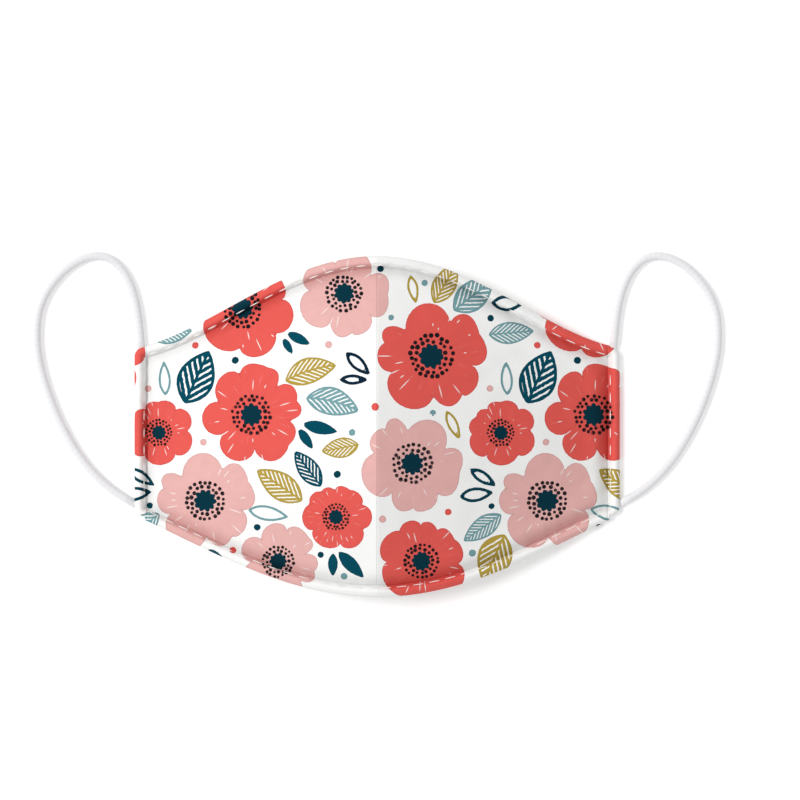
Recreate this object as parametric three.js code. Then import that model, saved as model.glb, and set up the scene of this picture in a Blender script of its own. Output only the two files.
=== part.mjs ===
// A reusable cloth face mask: two curved cotton panels joined on a centre ridge, a turned hem
// all round, and a round elastic ear loop on each side. It lies on a surface on its two side
// hems, with its face up and its hollow down.
// Millimetres. Seen from outside, +X is to the right and +Y towards the nose; +Z is up.
import * as THREE from "three";

// Driving dimensions.
const bodyWidth = 200; // over both side hems
const bodyHeight = 140; // nose edge to chin edge, on the ridge
const ridgeHeight = 52; // highest point of the ridge above the surface
const noseLift = 18; // how far the nose edge stands up at the ridge
const chinLift = 15; // how far the chin edge stands up at the ridge
const bulge = 0.2; // how much fuller than a straight line each panel is, from ridge to side

// Where the side edges start and end, and how full the nose and chin edges are between a
// corner and the ridge: an edge falls from the ridge as a cosine raised to this power.
const noseEdge = { ridgeY: bodyHeight / 2, cornerY: 32.7, power: 1.5 };
const chinEdge = { ridgeY: -bodyHeight / 2, cornerY: -37, power: 1.1 };

const clothThickness = 1.6; // two layers of cotton and the seam allowances between them
const hemWidth = 5;
const hemThickness = 3;
const hemShoulder = 1; // how far the round of the hem comes in on each of its corners
const cornerRadius = 4;
const gap = 0.3; // between neighbouring pieces
const cordDiameter = 3.5;

// How finely each piece is divided.
const panelColumns = 16;
const panelRows = 20;
const sideHemRows = 8;
const cornerRows = 4;
const cordSides = 8;
const cordSteps = 58;

// The right ear loop's centreline as it lies beside the mask, from the nose corner round to
// the chin corner. The left loop mirrors it.
const earLoopRoute = [
  { x: 97.4, y: 33.2 },
  { x: 97.9, y: 39 },
  { x: 98.6, y: 45.2 },
  { x: 99.8, y: 51.8 },
  { x: 101.9, y: 58.6 },
  { x: 105.2, y: 64.6 },
  { x: 109.8, y: 68.8 },
  { x: 115.2, y: 70.3 },
  { x: 121.2, y: 69.1 },
  { x: 127.2, y: 65.7 },
  { x: 132.6, y: 60.5 },
  { x: 137, y: 54 },
  { x: 139.6, y: 46.8 },
  { x: 140.4, y: 39 },
  { x: 140, y: 30.8 },
  { x: 138.2, y: 22 },
  { x: 135.4, y: 13 },
  { x: 131.8, y: 4 },
  { x: 127.2, y: -5 },
  { x: 121.8, y: -13.4 },
  { x: 115.6, y: -20.6 },
  { x: 108.8, y: -26.4 },
  { x: 101.5, y: -31 },
];

// Places worked out from the dimensions.
const halfWidth = bodyWidth / 2;
const hemInnerX = halfWidth - hemWidth;
const panelOuterX = hemInnerX - gap;

const cotton = new THREE.MeshStandardMaterial({
  color: "#f2f2f1",
  roughness: 0.9,
  metalness: 0,
});
const hemCotton = new THREE.MeshStandardMaterial({
  color: "#f6f5f3",
  roughness: 0.9,
  metalness: 0,
});
const elastic = new THREE.MeshStandardMaterial({
  color: "#e6e6e8",
  roughness: 0.8,
  metalness: 0,
});

/** The Y of the nose or chin edge above a point of the X axis. */
function edgeY(edge, x) {
  const fall = Math.cos((Math.PI / 2) * Math.min(Math.abs(x) / halfWidth, 1));
  return edge.cornerY + (edge.ridgeY - edge.cornerY) * fall ** edge.power;
}

/** How much longer a width across the edge is along Y, because the edge runs at a slant. */
function slantOf(edge, x) {
  const step = 0.5;
  const rise = edgeY(edge, x + step) - edgeY(edge, x - step);
  return Math.hypot(1, rise / (2 * step));
}

/** The Y of a line that follows an edge at a distance inside it. */
function insideEdgeY(edge, x, distance) {
  return edgeY(edge, x) - Math.sign(edge.ridgeY) * distance * slantOf(edge, x);
}

/** The height of the cloth's underside: an arched ridge that falls to the surface at each side. */
function undersideZ(x, y) {
  const across = Math.min(Math.abs(x) / hemInnerX, 1);
  const chinY = edgeY(chinEdge, x);
  const along = THREE.MathUtils.clamp((y - chinY) / (edgeY(noseEdge, x) - chinY), 0, 1);
  const openEdge = THREE.MathUtils.lerp(chinLift, noseLift, along);
  const crown = ridgeHeight - clothThickness - (chinLift + noseLift) / 2;
  const height = openEdge + crown * Math.sin(Math.PI * along);
  return height * (1 - across) * (1 + bulge * across);
}

/** How much taller the cloth is along Z than across itself, because it lies at a slope. */
function steepnessAt(x, y) {
  const step = 0.5;
  const outward = x + (x < 0 ? -step : step);
  const slopeX = (undersideZ(outward, y) - undersideZ(x, y)) / step;
  const slopeY = (undersideZ(x, y + step) - undersideZ(x, y - step)) / (2 * step);
  return Math.hypot(1, slopeX, slopeY);
}

/**
 * A closed body through a row of sections. Each section has an upper and a lower line with the
 * same number of points, which start and end side by side.
 */
function loft(sections) {
  const lineLength = sections[0].upper.length;
  const ringLength = 2 * lineLength;
  const points = sections.flatMap(({ upper, lower }) => [...upper, ...lower.toReversed()]);
  const indices = [];
  const addQuad = (a, b, c, d) => indices.push(a, b, c, a, c, d);
  for (let s = 0; s < sections.length - 1; s += 1) {
    for (let i = 0; i < ringLength; i += 1) {
      const next = (i + 1) % ringLength;
      const here = s * ringLength;
      const there = here + ringLength;
      addQuad(here + i, here + next, there + next, there + i);
    }
  }
  const lastRing = (sections.length - 1) * ringLength;
  for (let i = 0; i < lineLength - 1; i += 1) {
    const across = ringLength - 1 - i;
    addQuad(i, across, across - 1, i + 1);
    addQuad(lastRing + i, lastRing + i + 1, lastRing + across - 1, lastRing + across);
  }
  const geometry = new THREE.BufferGeometry().setFromPoints(points);
  geometry.setIndex(facingOut(points, indices));
  geometry.computeVertexNormals();
  return geometry;
}

/** The triangles, turned round if the volume they enclose comes out negative. */
function facingOut(points, indices) {
  let volume = 0;
  for (let i = 0; i < indices.length; i += 3) {
    const [a, b, c] = indices.slice(i, i + 3).map((index) => points[index]);
    volume += a.dot(b.clone().cross(c));
  }
  return volume > 0 ? indices : indices.toReversed();
}

/** X values from one end to the other in even steps. */
function spread(from, to, steps) {
  return Array.from({ length: steps + 1 }, (_, i) => from + ((to - from) * i) / steps);
}

/** One panel of cotton between the ridge, the nose hem, a side hem and the chin hem. */
function panelGeometry(side) {
  const sections = spread(gap / 2, panelOuterX, panelColumns).map((distance) => {
    const x = side * distance;
    const chinY = insideEdgeY(chinEdge, x, hemWidth + gap);
    const noseY = insideEdgeY(noseEdge, x, hemWidth + gap);
    const upper = [];
    const lower = [];
    for (const y of spread(chinY, noseY, panelRows)) {
      const z = undersideZ(x, y);
      lower.push(new THREE.Vector3(x, y, z));
      upper.push(new THREE.Vector3(x, y, z + clothThickness * steepnessAt(x, y)));
    }
    return { upper, lower };
  });
  return loft(sections);
}

/** The hem's section from its outer to its inner side: places across it, and how low the round is. */
const hemSection = [
  { across: 0, dip: 1 },
  { across: hemShoulder / hemWidth, dip: 0 },
  { across: 1 - hemShoulder / hemWidth, dip: 0 },
  { across: 1, dip: 1 },
];

/** The turned hem along the whole nose or chin edge, from one side hem to the other. */
function edgeHemGeometry(edge) {
  const rightHalf = spread(gap / 2, panelOuterX, panelColumns);
  const stations = [...rightHalf.toReversed().map((x) => -x), 0, ...rightHalf];
  const sections = stations.map((x) => {
    const height = hemThickness * steepnessAt(x, insideEdgeY(edge, x, hemWidth / 2));
    const upper = [];
    const lower = [];
    for (const { across, dip } of hemSection) {
      const y = insideEdgeY(edge, x, across * hemWidth);
      const z = undersideZ(x, y);
      lower.push(new THREE.Vector3(x, y, z + dip * hemShoulder));
      upper.push(new THREE.Vector3(x, y, z + height - dip * hemShoulder));
    }
    return { upper, lower };
  });
  return loft(sections);
}

/** How far a side hem's outer side draws in near a corner of the mask. */
function cornerDrawIn(y) {
  const past = Math.max(
    y - (noseEdge.cornerY - cornerRadius),
    chinEdge.cornerY + cornerRadius - y,
    0,
  );
  return cornerRadius - Math.sqrt(cornerRadius ** 2 - Math.min(past, cornerRadius) ** 2);
}

/** The turned hem along a straight side edge, with the two round corners. It lies flat. */
function sideHemGeometry(side) {
  const cornerSteps = spread(0, Math.PI / 2, cornerRows).map(Math.sin);
  const straightEnds = {
    chin: chinEdge.cornerY + cornerRadius,
    nose: noseEdge.cornerY - cornerRadius,
  };
  const rows = [
    ...cornerSteps.toReversed().map((s) => straightEnds.chin - s * cornerRadius),
    ...spread(straightEnds.chin, straightEnds.nose, sideHemRows).slice(1, -1),
    ...cornerSteps.map((s) => straightEnds.nose + s * cornerRadius),
  ];
  const sections = rows.map((y) => {
    const outerX = halfWidth - cornerDrawIn(y);
    const upper = [];
    const lower = [];
    for (const { across, dip } of hemSection) {
      const x = side * THREE.MathUtils.lerp(outerX, hemInnerX, across);
      lower.push(new THREE.Vector3(x, y, dip * hemShoulder));
      upper.push(new THREE.Vector3(x, y, hemThickness - dip * hemShoulder));
    }
    return { upper, lower };
  });
  return loft(sections);
}

/** An ear loop's elastic cord, which lies on the surface from one corner to the other. */
function earLoopGeometry(side) {
  const radius = cordDiameter / 2;
  const section = new THREE.Shape(
    Array.from({ length: cordSides }, (_, i) => {
      const angle = ((i + 0.5) * 2 * Math.PI) / cordSides;
      return new THREE.Vector2(radius * Math.cos(angle), radius * Math.sin(angle));
    }),
  );
  const route = earLoopRoute.map(({ x, y }) => new THREE.Vector3(side * x, y, radius));
  return new THREE.ExtrudeGeometry(section, {
    steps: cordSteps,
    bevelEnabled: false,
    extrudePath: new THREE.CatmullRomCurve3(route),
  });
}

const mask = new THREE.Group();

function addPiece(name, geometry, material) {
  const piece = new THREE.Mesh(geometry, material);
  piece.name = name;
  mask.add(piece);
}

for (const { name, side } of [
  { name: "left", side: -1 },
  { name: "right", side: 1 },
]) {
  addPiece(`panel_${name}`, panelGeometry(side), cotton);
  addPiece(`hem_${name}`, sideHemGeometry(side), hemCotton);
  addPiece(`ear_loop_${name}`, earLoopGeometry(side), elastic);
}
addPiece("hem_nose", edgeHemGeometry(noseEdge), hemCotton);
addPiece("hem_chin", edgeHemGeometry(chinEdge), hemCotton);

export default mask;
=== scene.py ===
"""A reusable cotton face mask with a poppy print, lying face up on a pale surface.

Sizes are in millimetres until a mesh is made, and in metres from there on. Seen from outside,
+X is to the right, +Y is towards the nose and +Z is up.
"""

import logging
import math
from dataclasses import dataclass, field
from enum import Enum

import bpy
import numpy as np
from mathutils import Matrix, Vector


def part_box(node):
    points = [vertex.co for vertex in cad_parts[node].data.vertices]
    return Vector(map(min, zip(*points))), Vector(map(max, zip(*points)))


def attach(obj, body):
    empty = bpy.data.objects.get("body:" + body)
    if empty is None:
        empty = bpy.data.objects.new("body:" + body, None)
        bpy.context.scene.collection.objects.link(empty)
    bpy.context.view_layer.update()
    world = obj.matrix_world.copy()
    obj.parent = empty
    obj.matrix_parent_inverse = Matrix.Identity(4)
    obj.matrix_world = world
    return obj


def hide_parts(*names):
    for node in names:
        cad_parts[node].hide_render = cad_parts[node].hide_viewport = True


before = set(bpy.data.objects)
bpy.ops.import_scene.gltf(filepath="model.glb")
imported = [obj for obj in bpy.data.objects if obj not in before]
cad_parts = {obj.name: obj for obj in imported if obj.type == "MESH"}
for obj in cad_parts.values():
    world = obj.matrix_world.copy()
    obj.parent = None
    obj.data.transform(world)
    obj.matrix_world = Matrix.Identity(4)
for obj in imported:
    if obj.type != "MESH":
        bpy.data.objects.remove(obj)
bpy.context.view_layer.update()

log = logging.getLogger("face_mask")

MM = 0.001
ROOT_BODY = "root"
LEFT, RIGHT = -1, 1
SIDES = {"left": LEFT, "right": RIGHT}

Tree = bpy.types.NodeTree
Socket = bpy.types.NodeSocket
Piece = bpy.types.Object
Material = bpy.types.Material
MATH, VECTOR_MATH = "ShaderNodeMath", "ShaderNodeVectorMath"
COMBINE, SEPARATE = "ShaderNodeCombineXYZ", "ShaderNodeSeparateXYZ"
NOISE, MAP_RANGE = "ShaderNodeTexNoise", "ShaderNodeMapRange"
ATTRIBUTE, MIX, BUMP = "ShaderNodeAttribute", "ShaderNodeMix", "ShaderNodeBump"


# Shared helpers: colours, nodes and meshes.


def linear(hex_colour: str) -> tuple[float, float, float, float]:
    """Turns an sRGB hex colour into linear RGBA.

    Args:
        hex_colour: The colour as "#RRGGBB".

    Returns:
        Red, green, blue and an alpha of 1.
    """
    channels = [int(hex_colour[i : i + 2], 16) / 255 for i in (1, 3, 5)]
    light = [c / 12.92 if c <= 0.04045 else ((c + 0.055) / 1.055) ** 2.4 for c in channels]
    return (*light, 1.0)


def wire(
    tree: Tree, kind: str, *values: object, named: dict | None = None, **settings: object
) -> Socket | bpy.types.Node:
    """Adds one node with its settings, and links or sets its inputs.

    Args:
        tree: The node tree to add to.
        kind: The node's type.
        *values: An output socket or a plain value for each input in order; None leaves one alone.
        named: More inputs, by name or index.
        **settings: The node's own properties.

    Returns:
        The node's first output that is in use, or the node itself if it has none.
    """
    node = tree.nodes.new(kind)
    for name, value in settings.items():
        setattr(node, name, value)
    wanted = {i: v for i, v in enumerate(values) if v is not None} | (named or {})
    for key, value in wanted.items():
        if isinstance(value, Socket):
            tree.links.new(value, node.inputs[key])
        else:
            node.inputs[key].default_value = value
    return next((out for out in node.outputs if out.enabled), node)


def new_material(name: str) -> tuple[Material, Tree]:
    """Makes an empty node material.

    Args:
        name: What the finish is really called.

    Returns:
        The material and its node tree.
    """
    material = bpy.data.materials.new(name)
    material.use_nodes = True
    material.node_tree.nodes.clear()
    return material, material.node_tree


def finish_material(tree: Tree, named: dict) -> None:
    """Ends a material in one Principled shader with these inputs."""
    shader = wire(tree, "ShaderNodeBsdfPrincipled", named=named)
    wire(tree, "ShaderNodeOutputMaterial", shader)


def grid_faces(rows: int, columns: int, start: int = 0) -> np.ndarray:
    """The quads of a grid of points numbered row by row, facing +Z if rows run along +X."""
    corner = np.arange((rows - 1) * columns).reshape(rows - 1, columns)[:, :-1] + start
    return np.stack([corner, corner + columns, corner + columns + 1, corner + 1], -1).reshape(-1, 4)


def mesh_object(name: str, points: np.ndarray, faces: list | np.ndarray) -> Piece:
    """Makes a smooth-shaded mesh object from points in millimetres.

    Args:
        name: The piece's name.
        points: One row of x, y and z for each vertex.
        faces: The vertex numbers of each face.

    Returns:
        The linked object, at the origin.
    """
    mesh = bpy.data.meshes.new(name)
    mesh.from_pydata((points * MM).tolist(), [], faces if isinstance(faces, list) else faces.tolist())
    mesh.polygons.foreach_set("use_smooth", np.ones(len(mesh.polygons), bool))
    mesh.update()
    piece = bpy.data.objects.new(name, mesh)
    bpy.context.scene.collection.objects.link(piece)
    return piece


def tube_object(name: str, points: np.ndarray) -> Piece:
    """Makes a closed tube, with a flat cap at each end, from rings of points in millimetres.

    Args:
        name: The piece's name.
        points: Ring by ring and round each ring, the x, y and z of each vertex.

    Returns:
        The linked object, its faces outwards.
    """
    rings, around = points.shape[:2]
    flat = points.reshape(-1, 3)
    ring = np.arange(rings - 1)[:, None] * around
    here, following = ring + np.arange(around), ring + (np.arange(around) + 1) % around
    sides = np.stack([here, following, following + around, here + around], -1).reshape(-1, 4)
    caps = [list(range(around))[::-1], list(range((rings - 1) * around, rings * around))]
    faces = sides.tolist() + caps
    if signed_volume(flat, sides) < 0:
        faces = [face[::-1] for face in faces]
    piece = mesh_object(name, flat, faces)
    piece.data.polygons.foreach_set("use_smooth", np.arange(len(faces)) < len(sides))
    piece.data.update()
    return piece


def signed_volume(points: np.ndarray, quads: np.ndarray) -> float:
    """Something like the volume that quads enclose, below zero if they face inwards."""
    a, b, c, d = (points[quads[:, i]] for i in range(4))
    return float(((a * np.cross(b, c)).sum(1) + (a * np.cross(c, d)).sum(1)).sum())


def corner_vertices(mesh: bpy.types.Mesh) -> np.ndarray:
    """The number of the vertex at each face corner.

    Args:
        mesh: The mesh.

    Returns:
        One number for each corner.
    """
    numbers = np.empty(len(mesh.loops), np.int32)
    mesh.loops.foreach_get("vertex_index", numbers)
    return numbers


def store(mesh: bpy.types.Mesh, name: str, values: np.ndarray, domain: str = "POINT") -> None:
    """Stores an attribute on a mesh.

    Args:
        mesh: The mesh.
        name: The attribute's name.
        values: A number for each vertex or corner, or a row of three.
        domain: POINT for vertices or CORNER for face corners.
    """
    kind, part = ("FLOAT", "value") if values.ndim == 1 else ("FLOAT_VECTOR", "vector")
    layer = mesh.attributes.new(name, kind, domain)
    layer.data.foreach_set(part, values.astype(np.float32).ravel())


def place_in_frame(piece: Piece, slot: str, *nodes: str) -> None:
    """Ties a finished piece to the body, hides the CAD nodes that it stands for, and logs its faces.

    Args:
        piece: The piece.
        slot: The material slot that it takes its finish from. Not used.
        *nodes: The CAD nodes, if any.
    """
    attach(piece, ROOT_BODY)
    if nodes:
        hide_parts(*nodes)
    log.info("%s: %d faces", piece.name, len(piece.data.polygons))


def smooth_line(points: np.ndarray, steps: int, closed: bool = False) -> np.ndarray:
    """A Catmull-Rom curve through points, with the same number of steps in each span.

    Args:
        points: The points to pass through, one row each.
        steps: Steps in each span.
        closed: Whether the last point joins the first.

    Returns:
        The curve's points. An open curve includes both ends.
    """
    if closed:
        padded = np.vstack([points[-1:], points, points[:2]])
    else:
        padded = np.vstack([2 * points[0] - points[1], points, 2 * points[-1] - points[-2]])
    t = (np.arange(steps) / steps)[:, None]
    spans = [
        0.5 * (2 * b + (c - a) * t + (2 * a - 5 * b + 4 * c - d) * t**2 + (3 * b - a - 3 * c + d) * t**3)
        for a, b, c, d in zip(padded, padded[1:], padded[2:], padded[3:])
    ]
    curve = np.vstack(spans)
    return curve if closed else np.vstack([curve, points[-1:]])


def even_line(points: np.ndarray, step: float) -> np.ndarray:
    """The same line with points at even distances of about step.

    Args:
        points: The line's points, one row each.
        step: The distance wanted.

    Returns:
        The new points, with both ends.
    """
    travelled = lengths_along(points)
    count = max(int(round(travelled[-1] / step)), 1)
    at = np.linspace(0, travelled[-1], count + 1)
    return np.stack([np.interp(at, travelled, axis) for axis in points.T], 1)


def lengths_along(points: np.ndarray) -> np.ndarray:
    """How far along a line each of its points lies."""
    return np.concatenate([[0], np.cumsum(np.linalg.norm(np.diff(points, axis=0), axis=1))])


def eased(count: int, ends: float) -> np.ndarray:
    """Numbers from 0 to 1, closer together at both ends by the share that ends gives."""
    even = np.linspace(0, 1, count)
    return even - ends * np.sin(2 * math.pi * even) / (2 * math.pi)


# The mask's shape.


@dataclass(frozen=True)
class LongEdge:
    """The nose or chin edge in plan: an arch from the ridge down to a corner on each side."""

    ridge_y: float
    corner_y: float
    power: float
    half_width: float

    def y(self, x: np.ndarray) -> np.ndarray:
        """The edge's Y above points of the X axis."""
        fall = np.cos(math.pi / 2 * np.minimum(np.abs(x) / self.half_width, 1))
        return self.corner_y + (self.ridge_y - self.corner_y) * np.maximum(fall, 0) ** self.power

    def slant(self, x: np.ndarray) -> np.ndarray:
        """How much longer a width across the edge is along Y."""
        step = 0.5
        return np.hypot(1, (self.y(x + step) - self.y(x - step)) / (2 * step))

    def inside(self, x: np.ndarray, distance: float) -> np.ndarray:
        """The Y of a line that follows the edge at a distance inside it."""
        return self.y(x) - np.sign(self.ridge_y) * distance * self.slant(x)

    def travelled(self, x: np.ndarray) -> np.ndarray:
        """How far along the edge from the ridge each X lies.

        Args:
            x: Places on the X axis.

        Returns:
            The distances, below zero left of the ridge.
        """
        across = np.linspace(-self.half_width, self.half_width, 401)
        along = lengths_along(np.stack([across, self.y(across)], 1))
        return np.interp(x, across, along - along[-1] / 2)


@dataclass(frozen=True)
class MaskForm:
    """The size and shape of the whole mask, as its cloth lies."""

    half_width: float
    nose_y: float
    chin_y: float
    nose_corner_y: float
    chin_corner_y: float
    ridge_height: float
    nose_lift: float = 18.0
    chin_lift: float = 15.0
    bulge: float = 0.2
    nose_power: float = 1.5
    chin_power: float = 1.1
    cloth: float = 1.6
    hem_width: float = 5.0
    corner_radius: float = 4.0
    groove_depth: float = 1.3
    groove_reach: float = 2.6
    puff: float = 0.7
    puff_distance: float = 5.0
    puff_reach: float = 3.5
    ridge_crease_depth: float = 0.05
    ridge_crease_reach: float = 0.6
    pucker: float = 0.16
    stitch_pitch: float = 6.7

    @classmethod
    def from_frame(cls) -> "MaskForm":
        """Reads the outer sizes from the frame's boxes.

        Returns:
            The form.
        """
        (nose_low, nose_high), (chin_low, _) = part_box("hem_nose"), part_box("hem_chin")
        side_low, side_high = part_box("hem_right")
        return cls(
            half_width=side_high.x / MM,
            nose_y=nose_high.y / MM,
            chin_y=chin_low.y / MM,
            nose_corner_y=side_high.y / MM,
            chin_corner_y=side_low.y / MM,
            ridge_height=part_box("panel_right")[1].z / MM,
        )

    @property
    def nose(self) -> LongEdge:
        """The edge over the wearer's nose."""
        return LongEdge(self.nose_y, self.nose_corner_y, self.nose_power, self.half_width)

    @property
    def chin(self) -> LongEdge:
        """The edge under the wearer's chin."""
        return LongEdge(self.chin_y, self.chin_corner_y, self.chin_power, self.half_width)

    @property
    def hem_inner_x(self) -> float:
        """Where the side hems meet the panels."""
        return self.half_width - self.hem_width

    def underside(self, x: np.ndarray, y: np.ndarray) -> np.ndarray:
        """The height of the cloth's underside: an arched ridge that falls to each side hem.

        Args:
            x: The points' X.
            y: Their Y.

        Returns:
            The heights.
        """
        across = np.minimum(np.abs(x) / self.hem_inner_x, 1)
        chin, nose = self.chin.y(x), self.nose.y(x)
        along = np.clip((y - chin) / (nose - chin), 0, 1)
        open_edge = self.chin_lift + (self.nose_lift - self.chin_lift) * along
        crown = self.ridge_height - self.cloth - (self.chin_lift + self.nose_lift) / 2
        height = open_edge + crown * np.sin(math.pi * along)
        return height * (1 - across) * (1 + self.bulge * across)

    def steepness(self, x: np.ndarray, y: np.ndarray) -> np.ndarray:
        """How much taller the cloth is along Z than across itself.

        Args:
            x: The points' X.
            y: Their Y.

        Returns:
            The factor at each point.
        """
        step = 0.5
        outward = x + np.where(x < 0, -step, step)
        slope_x = (self.underside(outward, y) - self.underside(x, y)) / step
        slope_y = (self.underside(x, y + step) - self.underside(x, y - step)) / (2 * step)
        return np.sqrt(1 + slope_x**2 + slope_y**2)

    def to_hem(self, x: np.ndarray, y: np.ndarray) -> tuple[np.ndarray, np.ndarray]:
        """How far a point of a panel is from the nearest hem, and how far along that hem it lies.

        Args:
            x: The points' X.
            y: Their Y.

        Returns:
            The distances, and the places along the hem.
        """
        to_nose = (self.nose.inside(x, self.hem_width) - y) / self.nose.slant(x)
        to_chin = (y - self.chin.inside(x, self.hem_width)) / self.chin.slant(x)
        to_side = self.hem_inner_x - np.abs(x)
        every = np.stack([to_nose, to_chin, to_side])
        along = np.stack([self.nose.travelled(x), self.chin.travelled(x), y])
        nearest = every.argmin(0)
        sharp = 1.2
        smallest = -np.log(np.exp(-every / sharp).sum(0)) * sharp
        return smallest, np.take_along_axis(along, nearest[None], 0)[0]

    def relief(self, x: np.ndarray, y: np.ndarray) -> np.ndarray:
        """What sewing does to a panel's face: it dips to the hems, puckers and creases.

        Args:
            x: The points' X.
            y: Their Y.

        Returns:
            How far the face lies above the plain form.
        """
        distance, along = self.to_hem(x, y)
        near = np.exp(-((np.maximum(distance, 0) / self.groove_reach) ** 1.5))
        puff = np.exp(-(((distance - self.puff_distance) / self.puff_reach) ** 2)) * self.puff
        beat = 0.5 + 0.5 * np.cos(2 * math.pi * along / self.stitch_pitch)
        ripple = np.exp(-((distance - 1.5) / 2.2) ** 2) * self.pucker * beat
        crease = np.exp(-((np.abs(x) / self.ridge_crease_reach) ** 2)) * self.ridge_crease_depth
        return self.softness(x, y) + puff - near * self.groove_depth - ripple - crease

    def softness(self, x: np.ndarray, y: np.ndarray) -> np.ndarray:
        """Slow, low waves of loose cloth, each row a wave's height, length and direction.

        Args:
            x: The points' X.
            y: Their Y.

        Returns:
            The waves' height, which fades out at the hems and the ridge.
        """
        waves = [
            {"height": 0.16, "length": 41.0, "turn": 24.0, "start": 0.4},
            {"height": 0.12, "length": 27.0, "turn": 71.0, "start": 1.9},
            {"height": 0.10, "length": 19.0, "turn": -38.0, "start": 3.1},
            {"height": 0.06, "length": 12.0, "turn": 8.0, "start": 0.9},
        ]
        total = np.zeros_like(x)
        for wave in waves:
            turn = math.radians(wave["turn"])
            run = (x * math.cos(turn) + y * math.sin(turn)) / wave["length"]
            bend = 0.35 * np.sin(2 * math.pi * y / (2.3 * wave["length"]))
            total += wave["height"] * np.sin(2 * math.pi * (run + bend) + wave["start"])
        rim, _ = self.to_hem(x, y)
        return total * np.clip(rim / 8, 0, 1) * np.clip(np.abs(x) / 6, 0, 1)

    def face(self, x: np.ndarray, y: np.ndarray) -> np.ndarray:
        """The height of a panel's outer face."""
        return self.underside(x, y) + self.cloth * self.steepness(x, y) + self.relief(x, y)


# The print: what each motif is, where it lies in the repeat, and how it is laid on the cloth.


class Ink(Enum):
    """The print's inks, as sRGB hex colours."""

    CORAL = "#e15b54"
    BLUSH = "#e3b0ac"
    TEAL = "#03485a"
    NAVY = "#0a2438"
    PETROL = "#033d4d"
    SAGE = "#749ea3"
    MUSTARD = "#b39a43"


class Drawing(Enum):
    """The ways a motif is drawn; its number is what the cloth's faces carry."""

    DOT = 1
    SOLID_LEAF = 2
    OUTLINE_LEAF = 3
    VEINED_LEAF = 4
    POPPY = 5


@dataclass(frozen=True)
class Petal:
    """One petal of a poppy, from the notch where it starts round to the next petal's notch.

    start is that notch's angle in degrees, notch and tip are radii as shares of the flower's reach,
    and peak is how far round the petal its tip is. A low point makes a square petal, a high one a
    pointed one.
    """

    start: float
    notch: float
    tip: float
    peak: float = 0.5
    point: float = 0.5


BROAD_POPPY = (
    Petal(-13, 0.73, 1.00),
    Petal(25, 0.94, 1.00),
    Petal(61, 0.69, 0.95, 0.46, 0.95),
    Petal(135, 0.65, 0.97, 0.58, 0.6),
    Petal(165, 0.84, 0.96, 0.42),
    Petal(202, 0.72, 1.03),
    Petal(272, 0.70, 0.96, 0.6, 0.7),
    Petal(309, 0.87, 0.97, 0.35),
)
ROUND_POPPY = (
    Petal(-9, 0.71, 1.00, 0.6),
    Petal(17, 0.91, 1.00, 0.4),
    Petal(47.5, 0.70, 1.00, 0.6),
    Petal(74, 0.99, 1.01, 0.4),
    Petal(107, 0.77, 0.97, 0.34, 0.6),
    Petal(159, 0.66, 0.99),
    Petal(214, 0.64, 0.97),
    Petal(275, 0.67, 1.03, 0.6),
    Petal(321.5, 0.93, 0.97, 0.3),
)
SMALL_POPPY = (
    Petal(25, 0.81, 0.97),
    Petal(62, 0.89, 0.93),
    Petal(92, 0.77, 0.91, 0.6),
    Petal(120, 0.82, 0.96),
    Petal(154, 0.82, 0.99),
    Petal(210, 0.76, 0.96),
    Petal(279.5, 0.78, 1.05),
    Petal(336, 0.81, 1.06),
)


@dataclass(frozen=True)
class Motif:
    """One motif of the repeat, in millimetres and degrees.

    reach is a flower's or dot's radius or half a leaf's length, breadth is half a leaf's width, and
    petals is a flower's outline. A leaf's tip is at its turn, and bend is how far its midrib bows.
    """

    drawing: Drawing
    ink: Ink
    x: float
    y: float
    reach: float
    breadth: float = 0.0
    turn: float = 0.0
    bend: float = 0.0
    petals: tuple[Petal, ...] = ()

    def outline(self) -> np.ndarray:
        """The motif's closed outline about its own middle, unturned.

        Returns:
            One row of x and y for each point.
        """
        if self.drawing is Drawing.POPPY:
            return self.poppy_outline()
        if self.drawing is Drawing.DOT:
            turn = np.linspace(0, 2 * math.pi, 24, endpoint=False)
            return self.reach * np.column_stack([np.cos(turn), np.sin(turn)])
        return self.leaf_outline()

    def leaf_outline(self) -> np.ndarray:
        """Two arched sides that meet in a point at each end, fullest nearer the stalk.

        Returns:
            One row of x and y for each point.
        """
        fullness, lean = 0.85, 0.2
        along = -np.cos(np.linspace(0, math.pi, 26))
        half = self.breadth * (1 - along**2) ** fullness * (1 - lean * along)
        upper = np.column_stack([along * self.reach, half])
        return np.vstack([upper, upper[-2:0:-1] * [1, -1]])

    def poppy_outline(self) -> np.ndarray:
        """Each petal swells from one notch and back to the next, which leaves the notches sharp.

        Returns:
            One row of x and y for each point.
        """
        steps = 16
        round_it = (1 - np.cos(math.pi * np.arange(steps) / steps)) / 2
        rounded = []
        for petal, following in zip(self.petals, self.petals[1:] + self.petals[:1]):
            angle = np.radians(petal.start + (following.start - petal.start) % 360 * round_it)
            base = petal.notch + (following.notch - petal.notch) * round_it
            to_peak = round_it ** (math.log(0.5) / math.log(petal.peak))
            radius = base + (petal.tip - base) * np.sin(math.pi * to_peak) ** petal.point
            rounded.append(radius[:, None] * np.column_stack([np.cos(angle), np.sin(angle)]))
        return self.reach * np.vstack(rounded)

    def detail(self) -> float:
        """The size that the inner drawing goes by: a reach, a line's width or the veins' spacing.

        Returns:
            The size in millimetres.
        """
        if self.drawing is Drawing.POPPY:
            return self.reach
        if self.drawing is Drawing.OUTLINE_LEAF:
            return 1.25 if self.ink in (Ink.NAVY, Ink.PETROL) else 0.92
        return (0.1 + 0.25 * self.breadth) * (1.15 if self.ink is Ink.TEAL else 1.0)


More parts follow.
